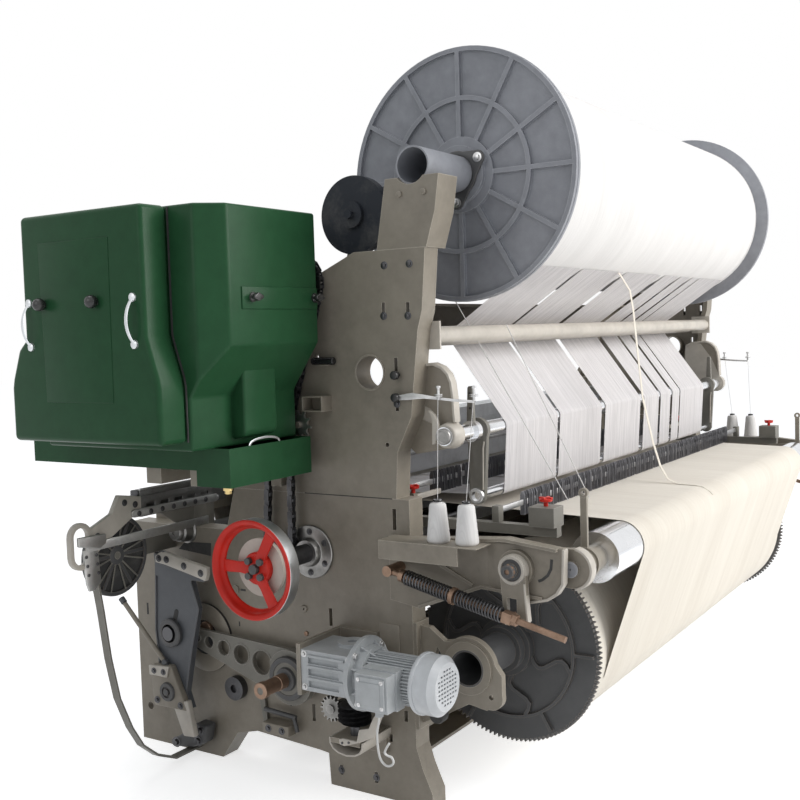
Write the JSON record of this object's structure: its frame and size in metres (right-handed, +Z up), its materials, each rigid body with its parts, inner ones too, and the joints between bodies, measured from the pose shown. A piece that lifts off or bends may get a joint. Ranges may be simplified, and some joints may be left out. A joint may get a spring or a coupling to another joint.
{
  "type": "power loom",
  "caption": "Terry rapier loom seen from its warp side, with pile beam, toothed ground beam, back rest, shedding box, chain drive and handwheel.",
  "frame": {"origin": "middle of the loom's footprint box, on the floor", "axes": "+X along the loom from the drive side to the far side, +Y from the warp beams to the cloth, +Z up"},
  "size_m": [4.074, 1.7753, 2.3398],
  "materials": {
    "frame_paint": "satin enamel, worn at edges",
    "cream_enamel": "semi-gloss enamel",
    "green_enamel": "gloss enamel",
    "red_enamel": "gloss enamel",
    "grey_enamel": "satin enamel",
    "motor_silver": "silver paint on ribbed casting",
    "beam_casting": "matt casting",
    "dark_casting": "oiled casting",
    "roller_chrome": "polished, light smudges",
    "bright_steel": "turned and ground",
    "heald_metal": "drawn section",
    "oiled_steel": "dark, oiled",
    "rusty_rod": "old steel with rust",
    "plug_brass": "machined",
    "black_knob": "moulded",
    "black_pulley": "moulded",
    "roller_rubber": "ground rubber cover",
    "white_yarn": "cotton pile yarn",
    "cream_yarn": "sized cotton yarn",
    "white_lead": "smooth sheath"
  },
  "bodies": {
    "frame": {"lower_frames": "frame_paint", "upper_frames": "frame_paint", "beam_cradles": "frame_paint", "girders": "frame_paint", "beam_brackets": "frame_paint", "tie_tube": "cream_enamel", "warp_rails": "grey_enamel", "sley_bearings": "frame_paint", "shedding_box": "green_enamel", "box_supports": "frame_paint", "drip_tray": "green_enamel", "wing_knobs": "black_knob", "tray_handle": "bright_steel", "drain_plug": "plug_brass", "drive_chain": "oiled_steel", "rapier_tracks": "oiled_steel", "tape_guides": "grey_enamel", "pivot_stubs": "bright_steel", "motor_body": "motor_silver", "fan_cover": "motor_silver", "terminal_box": "motor_silver", "reducer": "motor_silver", "reducer_bracket": "frame_paint", "motor_cable": "white_lead", "tension_springs": "oiled_steel", "spring_rods": "rusty_rod", "cone_trays": "frame_paint", "yarn_cones": "white_yarn", "warp_stops": "oiled_steel", "warp_sheets": "cream_yarn"},
    "cover": {"box_cover": "green_enamel", "cover_handles": "bright_steel", "cover_knobs": "black_knob"},
    "main_drive": {"handwheel": "red_enamel", "handwheel_hub": "cream_enamel", "main_shaft": "bright_steel", "drive_pulley": "dark_casting"},
    "low_sprocket": {"low_sprocket": "bright_steel"},
    "high_sprocket": {"high_sprocket": "bright_steel"},
    "idler_sprocket": {"idler_sprocket": "bright_steel"},
    "pile_warp_beam": {"pile_beam": "beam_casting", "pile_yarn": "white_yarn"},
    "ground_warp_beam": {"ground_beam": "dark_casting", "ground_yarn": "cream_yarn"},
    "let_off_idler": {"let_off_idler": "bright_steel"},
    "let_off_shaft": {"let_off_shaft": "bright_steel"},
    "worm": {"worm": "oiled_steel"},
    "back_rest": {"back_rest_levers": "frame_paint"},
    "whip_roller": {"whip_roller": "roller_chrome"},
    "tension_bar": {"tension_bar": "roller_chrome"},
    "left_rapier_wheel": {"rapier_wheel_left": "dark_casting"},
    "right_rapier_wheel": {"rapier_wheel_right": "dark_casting"},
    "swing_arm": {"swing_arm": "grey_enamel"},
    "rocker_lever": {"rocker_lever": "grey_enamel"},
    "sley": {"sley": "grey_enamel"},
    "healds_a": {"heald_frames_a": "heald_metal"},
    "healds_b": {"heald_frames_b": "heald_metal"},
    "take_up_roller": {"take_up_roller": "roller_rubber"},
    "cloth_roll": {"cloth_roll": "cream_yarn"},
    "guide_pulley": {"guide_pulley": "black_pulley"}
  },
  "joints": [
    {"name": "cover_slide", "type": "slide", "parent": "frame", "child": "cover", "axis": [-1, 0, 0], "range_m": [0, 0.25]},
    {"name": "main_spin", "type": "hinge", "parent": "frame", "child": "main_drive", "pos_m": [0.068, 0.08065, 0.757], "axis": [1, 0, 0], "continuous": true, "deforming": ["drive_chain"]},
    {"name": "low_spin", "type": "hinge", "parent": "frame", "child": "low_sprocket", "pos_m": [-1.398, 0.18865, 0.757], "axis": [1, 0, 0], "continuous": true, "deforming": ["drive_chain"]},
    {"name": "high_spin", "type": "hinge", "parent": "frame", "child": "high_sprocket", "pos_m": [-1.398, 0.08065, 1.608], "axis": [1, 0, 0], "continuous": true, "deforming": ["drive_chain"]},
    {"name": "idler_spin", "type": "hinge", "parent": "frame", "child": "idler_sprocket", "pos_m": [-1.398, 0.08665, 1.168], "axis": [1, 0, 0], "continuous": true, "deforming": ["drive_chain"]},
    {"name": "pile_spin", "type": "hinge", "parent": "frame", "child": "pile_warp_beam", "pos_m": [0.068, -0.32935, 1.94], "axis": [1, 0, 0], "continuous": true},
    {"name": "ground_spin", "type": "hinge", "parent": "frame", "child": "ground_warp_beam", "pos_m": [0.068, -0.46935, 0.45], "axis": [1, 0, 0], "continuous": true},
    {"name": "let_off_idler_spin", "type": "hinge", "parent": "frame", "child": "let_off_idler", "pos_m": [-1.182, -0.14516, 0.332], "axis": [1, 0, 0], "continuous": true},
    {"name": "let_off_shaft_spin", "type": "hinge", "parent": "frame", "child": "let_off_shaft", "pos_m": [-1.282, -0.05823, 0.30037], "axis": [1, 0, 0], "continuous": true},
    {"name": "worm_spin", "type": "hinge", "parent": "frame", "child": "worm", "pos_m": [-1.472, -0.14223, 0.30037], "axis": [0, 0, 1], "continuous": true},
    {"name": "back_rest_tilt", "type": "hinge", "parent": "frame", "child": "back_rest", "pos_m": [0.068, -0.66435, 0.78], "axis": [1, 0, 0], "range_deg": [-3, 3], "deforming": ["tension_springs", "warp_sheets"]},
    {"name": "whip_spin", "type": "hinge", "parent": "back_rest", "child": "whip_roller", "pos_m": [0.068, -0.80935, 0.78], "axis": [1, 0, 0], "continuous": true},
    {"name": "tension_bar_swing", "type": "hinge", "parent": "frame", "child": "tension_bar", "pos_m": [0.068, -0.40435, 1.137], "axis": [1, 0, 0], "range_deg": [-6, 6], "deforming": ["warp_sheets"]},
    {"name": "left_wheel_turn", "type": "hinge", "parent": "frame", "child": "left_rapier_wheel", "pos_m": [-1.667, 0.65965, 0.752], "axis": [0, 1, 0], "range_deg": [-120, 120]},
    {"name": "right_wheel_turn", "type": "hinge", "parent": "frame", "child": "right_rapier_wheel", "pos_m": [1.803, 0.65965, 0.752], "axis": [0, 1, 0], "range_deg": [-120, 120]},
    {"name": "swing_arm_turn", "type": "hinge", "parent": "frame", "child": "swing_arm", "pos_m": [-1.402, 0.15265, 0.347], "axis": [1, 0, 0], "range_deg": [-6, 6]},
    {"name": "rocker_turn", "type": "hinge", "parent": "frame", "child": "rocker_lever", "pos_m": [-1.457, 0.61665, 0.45], "axis": [1, 0, 0], "range_deg": [-6, 6]},
    {"name": "sley_swing", "type": "hinge", "parent": "frame", "child": "sley", "pos_m": [0.068, 0.55265, 0.418], "axis": [1, 0, 0], "range_deg": [-8, 2], "deforming": ["warp_sheets"]},
    {"name": "healds_a_slide", "type": "slide", "parent": "frame", "child": "healds_a", "axis": [0, 0, 1], "range_m": [-0.03, 0.03], "deforming": ["warp_sheets"]},
    {"name": "healds_b_slide", "type": "slide", "parent": "frame", "child": "healds_b", "axis": [0, 0, 1], "range_m": [-0.03, 0.03], "deforming": ["warp_sheets"]},
    {"name": "cloth_spin", "type": "hinge", "parent": "frame", "child": "cloth_roll", "pos_m": [0.068, 0.73065, 0.28], "axis": [1, 0, 0], "continuous": true, "deforming": ["warp_sheets"]},
    {"name": "take_up_spin", "type": "hinge", "parent": "frame", "child": "take_up_roller", "pos_m": [0.068, 0.76565, 0.69], "axis": [1, 0, 0], "continuous": true},
    {"name": "pulley_spin", "type": "hinge", "parent": "frame", "child": "guide_pulley", "pos_m": [-1.232, -0.04235, 1.825], "axis": [1, 0, 0], "continuous": true}
  ],
  "couplings": [
    {"joint": "low_spin", "follows": "main_spin", "ratio": -1},
    {"joint": "high_spin", "follows": "main_spin", "ratio": -0.56522},
    {"joint": "idler_spin", "follows": "main_spin", "ratio": 1.3},
    {"joint": "let_off_idler_spin", "follows": "ground_spin", "ratio": -7.625},
    {"joint": "let_off_shaft_spin", "follows": "ground_spin", "ratio": 5.8095},
    {"joint": "worm_spin", "follows": "ground_spin", "ratio": 92.952},
    {"joint": "right_wheel_turn", "follows": "left_wheel_turn", "ratio": -1},
    {"joint": "healds_b_slide", "follows": "healds_a_slide", "ratio": -1},
    {"joint": "take_up_spin", "follows": "cloth_spin", "ratio": -1.7143}
  ]
}
